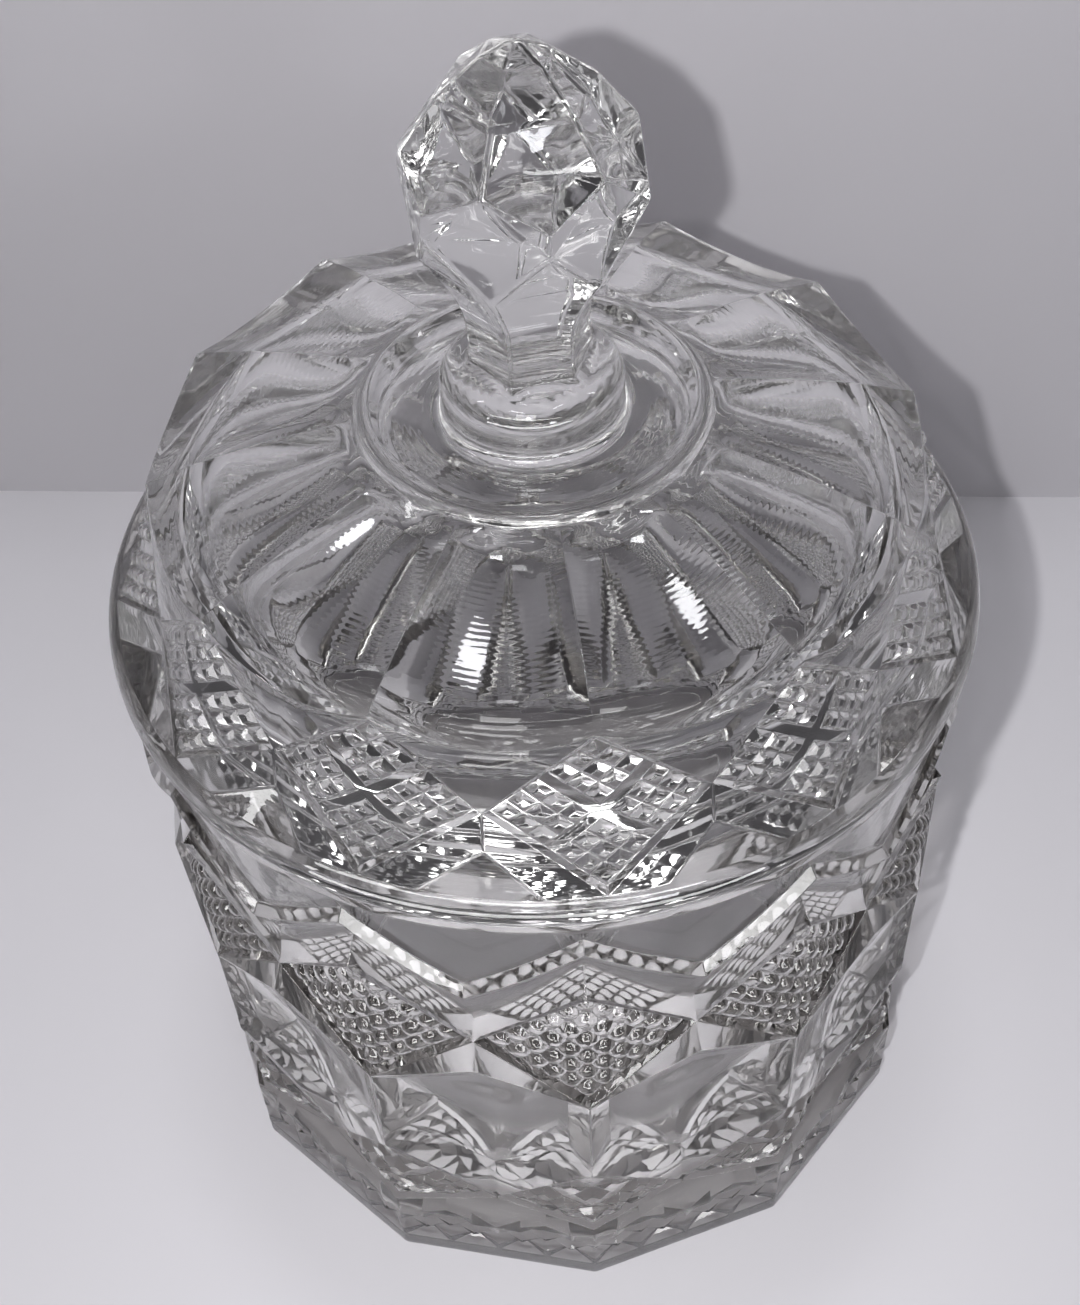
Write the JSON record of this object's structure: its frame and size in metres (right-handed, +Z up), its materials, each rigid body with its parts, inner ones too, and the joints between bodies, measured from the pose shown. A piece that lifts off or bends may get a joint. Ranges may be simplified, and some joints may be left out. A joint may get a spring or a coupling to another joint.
{
  "type": "powder jar",
  "caption": "Round covered powder jar in clear pressed glass with diamond-point bands, plain hollow windows, a fluted domed lid and a faceted knob.",
  "frame": {"origin": "centre of the foot, on the plane the jar stands on", "axes": "+Z up along the jar's axis, -Y towards the front"},
  "size_m": [0.12, 0.12, 0.182],
  "materials": {
    "jar_glass": "fire-polished clear pressed glass",
    "lid_glass": "fire-polished clear pressed glass"
  },
  "bodies": {
    "jar": {"jar": "jar_glass"},
    "lid": {"lid": "lid_glass"}
  },
  "joints": [
    {"name": "lid_lift", "type": "slide", "parent": "jar", "child": "lid", "axis": [0, 0, 1], "range_m": [0, 0.09]}
  ]
}
